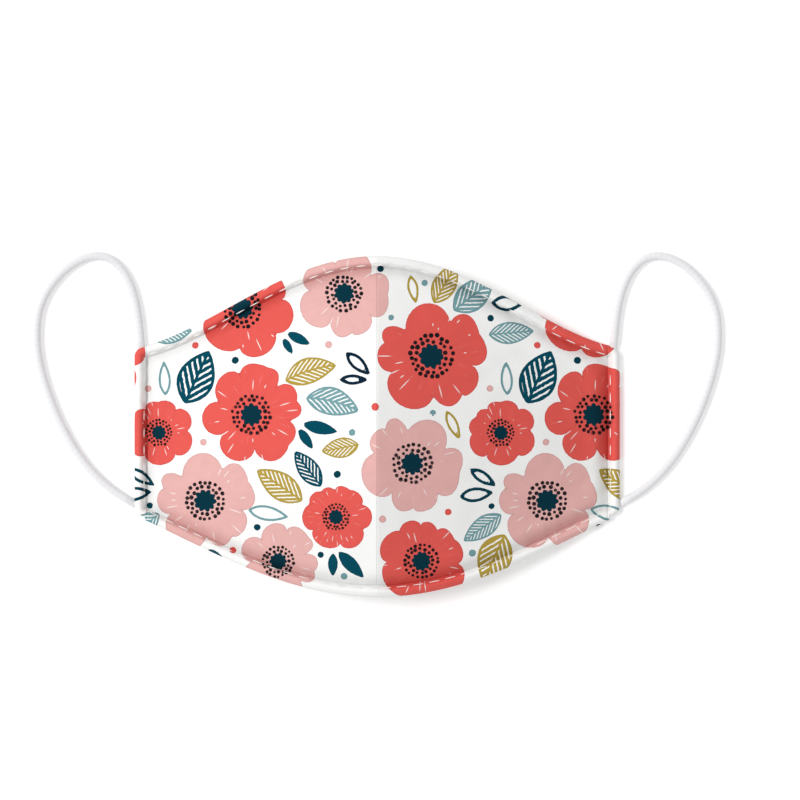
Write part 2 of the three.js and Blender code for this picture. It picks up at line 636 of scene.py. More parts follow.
def poppy(ink: Ink, x: float, y: float, reach: float, turn: float, petals: tuple[Petal, ...]) -> Motif:
    """A poppy of the repeat."""
    return Motif(Drawing.POPPY, ink, x, y, reach, turn=turn, petals=petals)


def alike(drawing: Drawing, ink: Ink, *rows: tuple[float, ...]) -> list[Motif]:
    """Motifs of one drawing and ink, each row its x, y and reach, and a leaf's breadth, turn and bend."""
    return [Motif(drawing, ink, *row) for row in rows]


MOTIFS = (
    poppy(Ink.CORAL, -55.4, 48.6, 20.3, -13, SMALL_POPPY),
    poppy(Ink.BLUSH, -13.5, 54.6, 18.9, -27, BROAD_POPPY),
    poppy(Ink.CORAL, 22.2, 28.8, 23.0, 0, BROAD_POPPY),
    poppy(Ink.CORAL, -51.4, 4.9, 20.8, 0, ROUND_POPPY),
    poppy(Ink.CORAL, -89.9, -2.5, 14.0, 28, SMALL_POPPY),
    poppy(Ink.BLUSH, -70.7, -30.5, 20.8, -1, BROAD_POPPY),
    poppy(Ink.BLUSH, 14.4, -15.0, 20.8, -37, BROAD_POPPY),
    poppy(Ink.CORAL, -16.8, -36.9, 14.0, 0, SMALL_POPPY),
    poppy(Ink.BLUSH, -40.6, -55.4, 16.4, -32, ROUND_POPPY),
    poppy(Ink.CORAL, 18.1, -55.2, 18.2, -29, SMALL_POPPY),
    *alike(Drawing.VEINED_LEAF, Ink.TEAL, (-74.1, 20.3, 11.9, 7.6, 65), (-28.2, -17.2, 9.1, 4.3, 127)),
    *alike(Drawing.VEINED_LEAF, Ink.SAGE,
        (55.1, 38.5, 9.4, 4.5, 5), (39.6, 54.0, 10.5, 6.0, 38), (-18.1, 9.1, 11.2, 5.7, -14, 1.2),
        (43.2, -41.5, 9.5, 4.3, 215),
    ),
    *alike(Drawing.VEINED_LEAF, Ink.MUSTARD,
        (28.0, 58.7, 9.4, 4.8, 60), (-27.0, 21.9, 11.0, 5.3, 17, 1.2), (-39.9, -24.0, 11.3, 5.6, 146),
        (-15.0, -8.7, 7.8, 4.1, 190), (48.0, -54.2, 10.8, 7.0, 247),
    ),
    *alike(Drawing.OUTLINE_LEAF, Ink.SAGE, (-87.5, 19.8, 7.1, 2.5, 93), (-44.6, -35.6, 8.4, 3.1, -10)),
    *alike(Drawing.OUTLINE_LEAF, Ink.MUSTARD, (14.8, 56.2, 5.9, 2.2, -79), (31.1, 0.6, 6.6, 2.2, -65)),
    *alike(Drawing.OUTLINE_LEAF, Ink.NAVY, (-7.7, 25.7, 6.7, 2.7, -43), (-9.4, 19.2, 5.9, 2.1, 0)),
    *alike(Drawing.OUTLINE_LEAF, Ink.PETROL,
        (53.5, 50.5, 6.6, 3.1, -4), (43.4, -20.8, 6.5, 2.4, -33), (40.7, -27.8, 7.0, 3.0, 7),
    ),
    *alike(Drawing.SOLID_LEAF, Ink.TEAL,
        (-32.0, 36.0, 5.4, 2.0, -27), (-36.5, 32.9, 3.9, 1.5, -59), (-23.1, -0.5, 7.3, 2.6, -13),
        (-29.0, -5.0, 5.1, 1.9, -55), (-18.1, -56.7, 4.8, 2.0, -91), (-10.6, -56.6, 7.4, 2.7, -46),
        (-66.5, -52.1, 3.5, 1.0, -29),
    ),
    *alike(Drawing.DOT, Ink.CORAL,
        (-74.8, 33.4, 1.4), (-0.7, 8.1, 1.6), (29.1, -34.9, 1.4), (-59.3, -50.9, 1.4),
    ),
    *alike(Drawing.DOT, Ink.PETROL,
        (-58.2, 27.2, 1.5), (1.4, 64.7, 1.4), (46.6, 44.5, 1.4), (-49.2, -41.3, 1.4),
        (46.9, -32.6, 1.3), (-16.2, -19.4, 1.5), (-23.1, -52.5, 1.3),
    ),
    *alike(Drawing.DOT, Ink.BLUSH,
        (46.2, 15.6, 1.4), (-19.8, 33.5, 1.5), (-71.3, -6.4, 1.4), (2.3, -37.7, 1.5),
    ),
    *alike(Drawing.DOT, Ink.SAGE,
        (19.5, 58.9, 1.3), (5.8, 44.6, 1.2), (22.8, 5.6, 1.3), (-10.1, -2.3, 1.4), (39.1, -51.9, 1.5),
        (-13.5, -61.4, 1.4),
    ),
)


def depth_inside(points: np.ndarray, outline: np.ndarray) -> np.ndarray:
    """How far inside a closed outline each point lies, below zero where it lies outside.

    Args:
        points: One row of x and y each.
        outline: The outline's corners in order.

    Returns:
        One depth for each point.
    """
    start, end = outline, np.roll(outline, -1, axis=0)
    side = end - start
    from_start = points[:, None] - start[None]
    share = np.clip((from_start * side).sum(-1) / (side**2).sum(-1), 0, 1)
    nearest = np.linalg.norm(from_start - share[..., None] * side, axis=-1).min(1)
    x, y = points[:, :1], points[:, 1:]
    rise = np.where(side[:, 1] == 0, 1, side[:, 1])
    passes = (start[:, 1] > y) != (end[:, 1] > y)
    to_the_right = x < start[:, 0] + (y - start[:, 1]) * side[:, 0] / rise
    inside = (passes & to_the_right).sum(1) % 2 == 1
    return np.where(inside, nearest, -nearest)


@dataclass(frozen=True)
class PrintChart:
    """The printed repeat, and the way it is laid on a piece of cloth.

    Every face of the cloth carries the two motifs that may touch it: for each of its corners, the
    place in the motif's own frame, the depth inside its outline, and its drawing and ink.
    """

    motifs: tuple[Motif, ...] = MOTIFS
    repeat: float = 140.6
    margin: float = 1.2
    layers: int = 2
    longest: float = 1.06
    fullest: float = 1.1

    def lay_on(self, piece: Piece, cloth: np.ndarray) -> None:
        """Stores the motifs on a piece's faces.

        Args:
            piece: The piece of cloth.
            cloth: Each vertex's place in the print, two columns in millimetres: its plan on a
                panel, and worked out round the roll on a hem.
        """
        mesh = piece.data
        sides = np.empty(len(mesh.polygons), np.int32)
        mesh.polygons.foreach_get("loop_total", sides)
        face_of = np.repeat(np.arange(len(sides)), sides)
        at = cloth[corner_vertices(mesh)]
        middle = np.stack([np.bincount(face_of, axis) / sides for axis in at.T], 1)
        spread = np.zeros(len(sides))
        np.maximum.at(spread, face_of, np.linalg.norm(at - middle[face_of], axis=1))
        chosen = self.motifs_near(middle, spread)
        for layer in range(self.layers):
            self.store_layer(mesh, layer + 1, chosen[:, layer][face_of], at)

    def copies(self) -> list[tuple[Motif, float]]:
        """Every motif with the middle X of each of its repeats across the mask."""
        return [(m, m.x + shift) for shift in (-self.repeat, 0, self.repeat) for m in self.motifs]

    def in_motif(self, motif: Motif, middle_x: float, at: np.ndarray) -> np.ndarray:
        """Puts points of the print in a motif's own unturned frame.

        Args:
            motif: The motif.
            middle_x: The X of this copy's middle.
            at: The points.

        Returns:
            Their places along and across the motif.
        """
        turn = math.radians(motif.turn)
        apart = at - [middle_x, motif.y]
        spin = np.array([[math.cos(turn), -math.sin(turn)], [math.sin(turn), math.cos(turn)]])
        own = apart @ spin
        own[:, 1] -= motif.bend * (1 - (own[:, 0] / motif.reach) ** 2)
        return own

    def motifs_near(self, middle: np.ndarray, spread: np.ndarray) -> np.ndarray:
        """The numbers of the copies that may touch each face, the nearest last, or -1 for none.

        Args:
            middle: Each face's middle.
            spread: How far its corners are from that.

        Returns:
            A row for each face, a column for each layer.
        """
        past = []
        for motif, middle_x in self.copies():
            along, across = self.in_motif(motif, middle_x, middle).T
            gap = np.hypot(along, across) - self.longest * motif.reach
            if motif.breadth:
                gap = np.maximum(gap, np.abs(across) - self.fullest * motif.breadth)
            past.append(gap - spread)
        past = np.stack(past, 1)
        order = np.argsort(past, axis=1)[:, : self.layers][:, ::-1]
        crowded = int(((past < 0).sum(1) > self.layers).sum())
        if crowded:
            log.warning("%d faces have more motifs than they can carry", crowded)
        return np.where(np.take_along_axis(past, order, 1) < self.margin, order, -1)

    def store_layer(self, mesh: bpy.types.Mesh, number: int, pick: np.ndarray, at: np.ndarray) -> None:
        """Writes one layer's motif for every face corner into the mesh's attributes.

        Args:
            mesh: The mesh.
            number: The layer, from 1.
            pick: The copy's number for each corner, or -1.
            at: Each corner's place in the print.
        """
        place = np.zeros((len(at), 3), np.float32)
        form, ink = place.copy(), place.copy()
        form[:, 0] = -1
        copies = self.copies()
        for index in np.unique(pick[pick >= 0]):
            motif, middle_x = copies[index]
            rows = pick == index
            own = self.in_motif(motif, middle_x, at[rows])
            place[rows, :2] = own
            place[rows, 2] = self.motifs.index(motif)
            form[rows, 0] = depth_inside(own, motif.outline())
            form[rows, 1:] = motif.detail(), motif.drawing.value
            ink[rows] = linear(motif.ink.value)[:3]
        for name, values in (("place", place), ("form", form), ("ink", ink)):
            store(mesh, f"motif_{number}_{name}", values, "CORNER")


def store_cloth(piece: Piece, cloth: np.ndarray, painted_hem_shade: np.ndarray) -> None:
    """Stores for the cotton's finish each vertex's place in the print and the weave, and how much painted
    shade it takes.

    Args:
        piece: The piece of cloth.
        cloth: Two columns in millimetres.
        painted_hem_shade: How much painted shade each vertex takes, from 0 to 1: the shadow of the hems'
            grooves and rims, painted into the colour.
    """
    store(piece.data, "cloth", np.column_stack([cloth, np.zeros(len(cloth))]))
    store(piece.data, "painted_hem_shade", painted_hem_shade)


# Finishes.


@dataclass(frozen=True)
class PlainWeave:
    """The over-and-under of a plain-woven cotton, as a height of about 0 to 1.

    A quilting cotton has a thread every 0.3 mm, too fine to show, so it is drawn at 0.8 mm. slub is
    how many uneven places in the yarn there are to a millimetre.
    """

    spacing: float = 0.8
    over_share: float = 0.35
    slub: float = 0.9

    def height(self, tree: Tree, cloth: Socket) -> Socket:
        """Adds the weave's nodes.

        Args:
            tree: The material's tree.
            cloth: The place in the weave, in millimetres.

        Returns:
            The height.
        """
        turns = {"Scale": math.pi / self.spacing}
        scaled = wire(tree, VECTOR_MATH, cloth, operation="SCALE", named=turns)
        parts = wire(tree, SEPARATE, scaled).node.outputs
        warp = wire(tree, MATH, parts["X"], operation="SINE")
        weft = wire(tree, MATH, parts["Y"], operation="SINE")
        over = wire(tree, MATH, warp, weft, operation="MULTIPLY")
        uneven = wire(tree, NOISE, named={"Vector": cloth, "Scale": self.slub, "Detail": 3.0})
        return wire(tree, MATH, over, self.over_share, uneven, operation="MULTIPLY_ADD")


@dataclass(frozen=True)
class StamenRing:
    """A ring of stamen dots round a poppy's heart, sizes as shares of the flower's reach."""

    dots: int
    radius: float
    size: float


@dataclass(frozen=True)
class MotifPlace:
    """The sockets that say where a point lies in its motif, and how large the motif's drawing is."""

    x: Socket
    y: Socket
    seed: Socket
    depth: Socket
    detail: Socket


@dataclass(frozen=True)
class MotifDrawing:
    """Draws one motif over what is under it, from what the cloth's faces carry.

    raggedness and ink_rim are in millimetres, the rim, midrib and vein shares are of the veins'
    spacing, and a poppy's sizes are shares of its reach. A pair is a least value and how much
    more there may be.
    """

    raggedness: float = 0.34
    ragged_scale: float = 0.7
    rim_share: float = 0.56
    midrib_share: float = 0.24
    vein_angle: float = 36.0
    vein_share: float = 0.34
    vein_stagger: float = 0.37
    vein_wander: float = 0.35
    ink_rim: float = 0.38
    rim_darker: float = 0.13
    streaks: float = 6.0
    streak_stretch: float = 0.16
    streak_shades: tuple[float, float] = (0.975, 1.02)
    heart_share: float = 0.205
    heart_lobes: float = 5.0
    lobe_share: float = 0.045
    blot_share: float = 0.05
    rings: tuple[StamenRing, ...] = (StamenRing(16, 0.272, 0.038), StamenRing(22, 0.368, 0.037))
    dot_places: tuple[float, float] = (0.35, 0.3)
    dot_sizes: tuple[float, float] = (0.8, 0.4)
    ring_places: tuple[float, float] = (-0.022, 0.045)
    stroke_rays: int = 31
    stroke_share: float = 0.0105
    stroke_places: tuple[float, float] = (0.5, 0.38)
    stroke_halves: tuple[float, float] = (0.02, 0.13)
    strokes_drawn: float = 0.36
    heart_ink: str = "#06323f"
    stamen_ink: str = "#1d1a1d"
    stroke_ink: str = "#f0dfdc"

    def group(self) -> Tree:
        """Builds the node group.

        Returns:
            The group, with Under, Place, Form, Ink and Cloth in and Colour out.
        """
        tree = bpy.data.node_groups.new("printed motif", "ShaderNodeTree")
        tree.interface.new_socket("Under", in_out="INPUT", socket_type="NodeSocketColor")
        for name in ("Place", "Form", "Ink", "Cloth"):
            tree.interface.new_socket(name, in_out="INPUT", socket_type="NodeSocketVector")
        tree.interface.new_socket("Colour", in_out="OUTPUT", socket_type="NodeSocketColor")
        given = wire(tree, "NodeGroupInput").node.outputs
        form = wire(tree, SEPARATE, given["Form"]).node.outputs
        place = wire(tree, SEPARATE, given["Place"]).node.outputs
        drawing = form["Z"]
        ragged = {"Vector": given["Cloth"], "Scale": self.ragged_scale, "Detail": 2.0}
        shake = wire(tree, NOISE, named=ragged)
        low = wire(tree, MATH, form["X"], self.raggedness / 2, operation="SUBTRACT")
        depth = wire(tree, MATH, shake, self.raggedness, low, operation="MULTIPLY_ADD")
        at = MotifPlace(place["X"], place["Y"], place["Z"], depth, form["Y"])
        filled = wire(tree, MATH, depth, 0.0, operation="GREATER_THAN")
        hollow = wire(tree, MATH, depth, at.detail, operation="GREATER_THAN")
        is_outline = self.drawn_as(tree, drawing, Drawing.OUTLINE_LEAF)
        bare = wire(tree, MATH, is_outline, hollow, operation="MULTIPLY")
        is_veined = self.drawn_as(tree, drawing, Drawing.VEINED_LEAF)
        bare = wire(tree, MATH, is_veined, self.veins(tree, at, shake), bare, operation="MULTIPLY_ADD")
        covered = wire(tree, MATH, filled, bare, operation="SUBTRACT", use_clamp=True)
        is_poppy = self.drawn_as(tree, drawing, Drawing.POPPY)
        ink = self.ink_film(tree, at, given["Ink"], is_poppy)
        colour = self.over(tree, covered, given["Under"], ink)
        flower = wire(tree, MATH, covered, is_poppy, operation="MULTIPLY")
        for mask, hex_colour in (
            (self.strokes(tree, at), self.stroke_ink),
            (self.stamens(tree, at), self.stamen_ink),
            (self.heart(tree, at), self.heart_ink),
        ):
            shown = wire(tree, MATH, mask, flower, operation="MULTIPLY")
            colour = self.over(tree, shown, colour, linear(hex_colour))
        wire(tree, "NodeGroupOutput", colour)
        return tree

    def drawn_as(self, tree: Tree, drawing: Socket, wanted: Drawing) -> Socket:
        """1 where the face's motif is of the wanted drawing, else 0."""
        return wire(tree, MATH, drawing, wanted.value, 0.4, operation="COMPARE")

    def over(self, tree: Tree, mask: Socket, under: Socket, upper: Socket | tuple) -> Socket:
        """Lays one colour over another where the mask says."""
        mixed = wire(tree, MIX, data_type="RGBA", named={"Factor": mask, 6: under, 7: upper})
        return mixed.node.outputs[2]

    def spread(self, tree: Tree, chance: Socket, pair: tuple[float, float]) -> Socket:
        """A value between a least one and that much more, as a chance from 0 to 1 has it."""
        return wire(tree, MATH, chance, pair[1], pair[0], operation="MULTIPLY_ADD")

    def ink_film(self, tree: Tree, at: MotifPlace, ink: Socket, is_poppy: Socket) -> Socket:
        """The ink: denser where it gathers at its rim, and faintly streaked along a poppy's petals.

        Args:
            tree: The group's tree.
            at: The place in the motif.
            ink: The ink's own colour.
            is_poppy: 1 on a poppy, else 0.

        Returns:
            The ink's colour there.
        """
        near_rim = wire(tree, MATH, at.depth, self.ink_rim, operation="LESS_THAN")
        rim_shade = wire(tree, MATH, near_rim, -self.rim_darker, 1.0, operation="MULTIPLY_ADD")
        angle, radius = self.polar(tree, at, 1.0)
        round_it = wire(tree, MATH, angle, self.streaks, operation="MULTIPLY")
        outward = wire(tree, MATH, radius, self.streak_stretch, operation="MULTIPLY")
        place = wire(tree, COMBINE, round_it, outward, at.seed)
        streak = wire(tree, NOISE, named={"Vector": place, "Scale": 1.0, "Detail": 2.0})
        streak = wire(tree, MAP_RANGE, streak, 0.3, 0.7, *self.streak_shades)
        streak = wire(tree, MIX, named={"Factor": is_poppy, "A": 1.0, "B": streak})
        shade = wire(tree, MATH, rim_shade, streak, operation="MULTIPLY")
        return wire(tree, VECTOR_MATH, ink, operation="SCALE", named={"Scale": shade})

    def veins(self, tree: Tree, at: MotifPlace, shake: Socket) -> Socket:
        """Bare strokes that slant from a leaf's midrib towards its tip, inside an inked rim.

        Args:
            tree: The group's tree.
            at: The place in the leaf, whose detail is the veins' spacing.
            shake: A slow noise from 0 to 1, which makes the strokes uneven.

        Returns:
            1 on a stroke, else 0.
        """
        slant = math.radians(self.vein_angle)
        side = wire(tree, MATH, at.y, operation="ABSOLUTE")
        run = wire(tree, MATH, side, -1 / math.tan(slant), at.x, operation="MULTIPLY_ADD")
        pitch = wire(tree, MATH, at.detail, 1 / math.sin(slant), operation="MULTIPLY")
        beat = wire(tree, MATH, run, pitch, operation="DIVIDE")
        upper = wire(tree, MATH, at.y, 0.0, operation="GREATER_THAN")
        beat = wire(tree, MATH, upper, self.vein_stagger, beat, operation="MULTIPLY_ADD")
        beat = wire(tree, MATH, shake, self.vein_wander, beat, operation="MULTIPLY_ADD")
        beat = wire(tree, MATH, beat, operation="FRACT")
        stroke = wire(tree, MATH, beat, self.vein_share, operation="LESS_THAN")
        rib = wire(tree, MATH, at.detail, self.midrib_share, operation="MULTIPLY")
        off_rib = wire(tree, MATH, side, rib, operation="GREATER_THAN")
        rim = wire(tree, MATH, at.detail, self.rim_share, operation="MULTIPLY")
        in_rim = wire(tree, MATH, at.depth, rim, operation="GREATER_THAN")
        stroke = wire(tree, MATH, stroke, off_rib, operation="MULTIPLY")
        return wire(tree, MATH, stroke, in_rim, operation="MULTIPLY")

    def polar(self, tree: Tree, at: MotifPlace, unit: Socket | float) -> tuple[Socket, Socket]:
        """A flower's angle in radians and its radius.

        Args:
            tree: The group's tree.
            at: The place in the flower.
            unit: What the radius is measured in, in millimetres.

        Returns:
            The angle and the radius.
        """
        angle = wire(tree, MATH, at.y, at.x, operation="ARCTAN2")
        apart = wire(tree, COMBINE, at.x, at.y, 0.0)
        radius = wire(tree, VECTOR_MATH, apart, operation="LENGTH").node.outputs["Value"]
        return angle, wire(tree, MATH, radius, unit, operation="DIVIDE")

    def sectors(
        self, tree: Tree, at: MotifPlace, angle: Socket, count: int, key: float
    ) -> tuple[Socket, ...]:
        """Cuts a flower into equal sectors, each with chances of its own.

        Args:
            tree: The group's tree.
            at: The place in the flower.
            angle: Its angle in radians.
            count: How many sectors there are.
            key: A number of this cut's own, so that two cuts differ.

        Returns:
            How far across its sector the place lies, and the sector's three chances, all 0 to 1.
        """
        turns = wire(tree, MATH, angle, count / (2 * math.pi), at.seed, operation="MULTIPLY_ADD")
        sector = wire(tree, MATH, turns, operation="FLOOR")
        number = wire(tree, MATH, sector, float(count), operation="FLOORED_MODULO")
        own = wire(tree, COMBINE, number, at.seed, key)
        chance = wire(tree, "ShaderNodeTexWhiteNoise", own).node.outputs["Color"]
        chances = wire(tree, "ShaderNodeSeparateColor", chance).node.outputs
        within = wire(tree, MATH, turns, sector, operation="SUBTRACT")
        return within, chances[0], chances[1], chances[2]

    def heart(self, tree: Tree, at: MotifPlace) -> Socket:
        """A poppy's dark heart, a lobed and uneven blot.

        Args:
            tree: The group's tree.
            at: The place in the poppy, whose detail is its reach.

        Returns:
            1 in the heart, else 0.
        """
        angle, radius = self.polar(tree, at, at.detail)
        lobes = wire(tree, MATH, angle, self.heart_lobes, at.seed, operation="MULTIPLY_ADD")
        lobes = wire(tree, MATH, lobes, operation="SINE")
        lobes = wire(tree, MATH, lobes, operation="ABSOLUTE")
        least = self.heart_share - self.blot_share
        edge = wire(tree, MATH, lobes, self.lobe_share, least, operation="MULTIPLY_ADD")
        place = wire(tree, COMBINE, at.x, at.y, at.seed)
        uneven = wire(tree, NOISE, named={"Vector": place, "Scale": 0.5, "Detail": 1.0})
        edge = wire(tree, MATH, uneven, self.blot_share, edge, operation="MULTIPLY_ADD")
        return wire(tree, MATH, radius, edge, operation="LESS_THAN")

    def stamens(self, tree: Tree, at: MotifPlace) -> Socket:
        """Loose rings of stamen dots round a poppy's heart.

        Args:
            tree: The group's tree.
            at: The place in the poppy, whose detail is its reach.

        Returns:
            1 on a dot, else 0.
        """
        angle, radius = self.polar(tree, at, at.detail)
        total = 0.0
        for ring in self.rings:
            within, aside, outward, growth = self.sectors(tree, at, angle, ring.dots, ring.radius)
            centre = self.spread(tree, aside, self.dot_places)
            across = wire(tree, MATH, within, centre, operation="SUBTRACT")
            arc = 2 * math.pi / ring.dots * ring.radius
            across = wire(tree, MATH, across, arc, operation="MULTIPLY")
            inward, loose = self.ring_places
            level = self.spread(tree, outward, (ring.radius + inward, loose))
            along = wire(tree, MATH, radius, level, operation="SUBTRACT")
            apart = wire(tree, COMBINE, across, along, 0.0)
            far = wire(tree, VECTOR_MATH, apart, operation="LENGTH").node.outputs["Value"]
            least, more = self.dot_sizes
            size = self.spread(tree, growth, (least * ring.size, more * ring.size))
            dots = wire(tree, MATH, far, size, operation="LESS_THAN")
            total = wire(tree, MATH, total, dots, operation="MAXIMUM")
        return total

    def strokes(self, tree: Tree, at: MotifPlace) -> Socket:
        """Fine bare brush strokes, tapered at both ends, that run out along a poppy's petals.

        Args:
            tree: The group's tree.
            at: The place in the poppy, whose detail is its reach.

        Returns:
            1 on a stroke, else 0.
        """
        angle, radius = self.polar(tree, at, at.detail)
        within, begin, extent, drawn = self.sectors(tree, at, angle, self.stroke_rays, 3.0)
        across = wire(tree, MATH, within, 0.5, operation="SUBTRACT")
        across = wire(tree, MATH, across, operation="ABSOLUTE")
        across = wire(tree, MATH, across, radius, operation="MULTIPLY")
        across = wire(tree, MATH, across, 2 * math.pi / self.stroke_rays, operation="MULTIPLY")
        middle = self.spread(tree, begin, self.stroke_places)
        half = self.spread(tree, extent, self.stroke_halves)
        past = wire(tree, MATH, radius, middle, operation="SUBTRACT")
        past = wire(tree, MATH, past, half, operation="DIVIDE")
        square = wire(tree, MATH, past, past, operation="MULTIPLY")
        taper = wire(tree, MATH, 1.0, square, operation="SUBTRACT", use_clamp=True)
        width = wire(tree, MATH, taper, self.stroke_share, operation="MULTIPLY")
        stroke = wire(tree, MATH, across, width, operation="LESS_THAN")
        wanted = wire(tree, MATH, drawn, self.strokes_drawn, operation="LESS_THAN")
        return wire(tree, MATH, stroke, wanted, operation="MULTIPLY")


@dataclass(frozen=True)
class PrintedCotton:
    """White quilting cotton, plain woven and roller printed in flat inks.

    The yarns scatter light, so it is matt and shows a faint nap at grazing angles. The ink dyes
    the yarns without filling the weave, so the print has no gloss of its own. seam_shade is painted
    shade: it darkens the colour along the hems' grooves and outer rims, where their shadow falls,
    to strengthen that shadow.
    """

    ground: str = "#f6f6f5"
    roughness: float = 0.88
    specular: float = 0.03
    sheen: float = 0.02
    seam_shade: float = 0.15
    weave: PlainWeave = PlainWeave()
    drawing: MotifDrawing = MotifDrawing()
    layers: int = 2

    def material(self) -> Material:
        """Builds the finish.

        Returns:
            The material.
        """
        material, tree = new_material("printed plain-weave cotton")
        cloth = wire(tree, ATTRIBUTE, attribute_name="cloth").node.outputs["Vector"]
        colour = linear(self.ground)
        group = self.drawing.group()
        for layer in range(1, self.layers + 1):
            carried = {"Under": colour, "Cloth": cloth}
            for name in ("place", "form", "ink"):
                source = wire(tree, ATTRIBUTE, attribute_name=f"motif_{layer}_{name}")
                carried[name.capitalize()] = source.node.outputs["Vector"]
            colour = wire(tree, "ShaderNodeGroup", node_tree=group, named=carried)
        threads = self.weave.height(tree, cloth)
        shade = wire(tree, MAP_RANGE, threads, -0.4, 1.1, 0.95, 1.02)
        # Painted shade: the colour darkens along the hems' grooves and outer rims, where their shadow falls.
        painted_hem_shade = wire(tree, ATTRIBUTE, attribute_name="painted_hem_shade").node.outputs["Fac"]
        shade = wire(tree, MATH, painted_hem_shade, -self.seam_shade, shade, operation="MULTIPLY_ADD")
        colour = wire(tree, VECTOR_MATH, colour, shade, operation="MULTIPLY")
        bump = wire(tree, BUMP, named={"Height": threads, "Strength": 0.35, "Distance": 0.12 * MM})
        finish_material(
            tree,
            {"Base Color": colour, "Roughness": self.roughness, "Specular IOR Level": self.specular,
             "Sheen Weight": self.sheen, "Sheen Roughness": 0.5, "Normal": bump},
        )
        return material


@dataclass(frozen=True)
class PlainCotton:
    """Unprinted white cotton, plain woven: the inside of the mask."""

    colour: str = "#f1efeb"
    roughness: float = 0.92
    weave: PlainWeave = PlainWeave()

    def material(self) -> Material:
        """Builds the finish.

        Returns:
            The material.
        """
        material, tree = new_material("white plain-weave cotton")
        cloth = wire(tree, ATTRIBUTE, attribute_name="cloth").node.outputs["Vector"]
        threads = self.weave.height(tree, cloth)
        shade = wire(tree, MAP_RANGE, threads, -0.4, 1.1, 0.93, 1.02)
        colour = wire(tree, VECTOR_MATH, linear(self.colour)[:3], shade, operation="MULTIPLY")
        bump = wire(tree, BUMP, named={"Height": threads, "Strength": 0.4, "Distance": 0.12 * MM})
        finish_material(tree, {"Base Color": colour, "Roughness": self.roughness, "Normal": bump})
        return material


@dataclass(frozen=True)
class SewingThread:
    """Spun polyester sewing thread, white, with a soft lustre."""

    colour: str = "#fbfaf6"
    ply_spacing: float = 0.5

    def material(self) -> Material:
        """Builds the finish.

        Returns:
            The material.
        """
        material, tree = new_material("spun polyester thread")
        place = wire(tree, "ShaderNodeTexCoord").node.outputs["Object"]
        plies = wire(
            tree, "ShaderNodeTexWave", wave_type="BANDS", bands_direction="DIAGONAL",
            named={"Vector": place, "Scale": 1 / (self.ply_spacing * MM * 20)},
        ).node.outputs["Fac"]
        shade = wire(tree, MAP_RANGE, plies, 0.0, 1.0, 0.9, 1.0)
        colour = wire(tree, VECTOR_MATH, linear(self.colour)[:3], shade, operation="MULTIPLY")
        finish_material(tree, {"Base Color": colour, "Roughness": 0.55, "Sheen Weight": 0.1})
        return material


@dataclass(frozen=True)
class BraidedElastic:
    """Round elastic cord: rubber cores in a braided polyester cover, off-white.

    The cover's yarns cross in small diamonds, which give it a fine herringbone and a soft sheen.
    """

    colour: str = "#ededef"
    dark: str = "#e5e5e8"

    def material(self) -> Material:
        """Builds the finish.

        Returns:
            The material.
        """
        material, tree = new_material("braided elastic cord")
        braid = wire(tree, ATTRIBUTE, attribute_name="braid").node.outputs["Vector"]
        parts = wire(tree, SEPARATE, braid).node.outputs
        fuzz = wire(tree, NOISE, named={"Vector": braid, "Scale": 1.2, "Detail": 3.0})
        height = parts["Z"]
        level = wire(tree, MATH, fuzz, 0.3, height, operation="MULTIPLY_ADD")
        shade = wire(tree, MAP_RANGE, level, -0.6, 1.2, 0.0, 1.0)
        colour = wire(
            tree, MIX, data_type="RGBA",
            named={"Factor": shade, 6: linear(self.dark), 7: linear(self.colour)},
        ).node.outputs[2]
        bump = wire(tree, BUMP, named={"Height": fuzz, "Strength": 0.25, "Distance": 0.1 * MM})
        finish_material(
            tree,
            {"Base Color": colour, "Roughness": 0.7, "Sheen Weight": 0.2, "Sheen Roughness": 0.4,
             "Normal": bump},
        )
        return material


@dataclass(frozen=True)
class Backdrop:
    """Opal acrylic sheet lit from below, as on a product photographer's light table.

    Its own glow takes the shadows off it, so that it shows plain white.
    """

    colour: str = "#fbfbfb"
    glow: float = 0.2

    def material(self) -> Material:
        """Builds the finish.

        Returns:
            The material.
        """
        material, tree = new_material("opal acrylic light table")
        white = linear(self.colour)
        finish_material(
            tree,
            {"Base Color": white, "Roughness": 1.0, "Specular IOR Level": 0.1,
             "Emission Color": white, "Emission Strength": self.glow},
        )
        return material


# The pieces.


